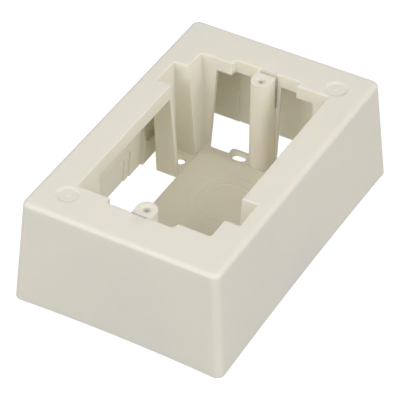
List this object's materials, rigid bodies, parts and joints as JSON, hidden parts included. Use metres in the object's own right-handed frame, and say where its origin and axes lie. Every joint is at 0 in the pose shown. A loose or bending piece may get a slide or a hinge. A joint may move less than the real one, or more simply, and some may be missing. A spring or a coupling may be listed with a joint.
{
  "type": "surface mount box",
  "caption": "Shallow drafted cover moulding with an open device tub, two screw posts, side windows and raceway breakouts, for fixing a wall plate device on a wall surface.",
  "frame": {"origin": "centre of the open back, in the plane that rests on the wall", "axes": "+Z out of the wall towards the front face, +Y along the long side, +X along the short side"},
  "size_m": [0.0852, 0.1298, 0.0437],
  "materials": {
    "ivory_plastic": "satin moulded ivory plastic"
  },
  "bodies": {
    "root": {"surface_mount_box": "ivory_plastic"}
  },
  "joints": []
}
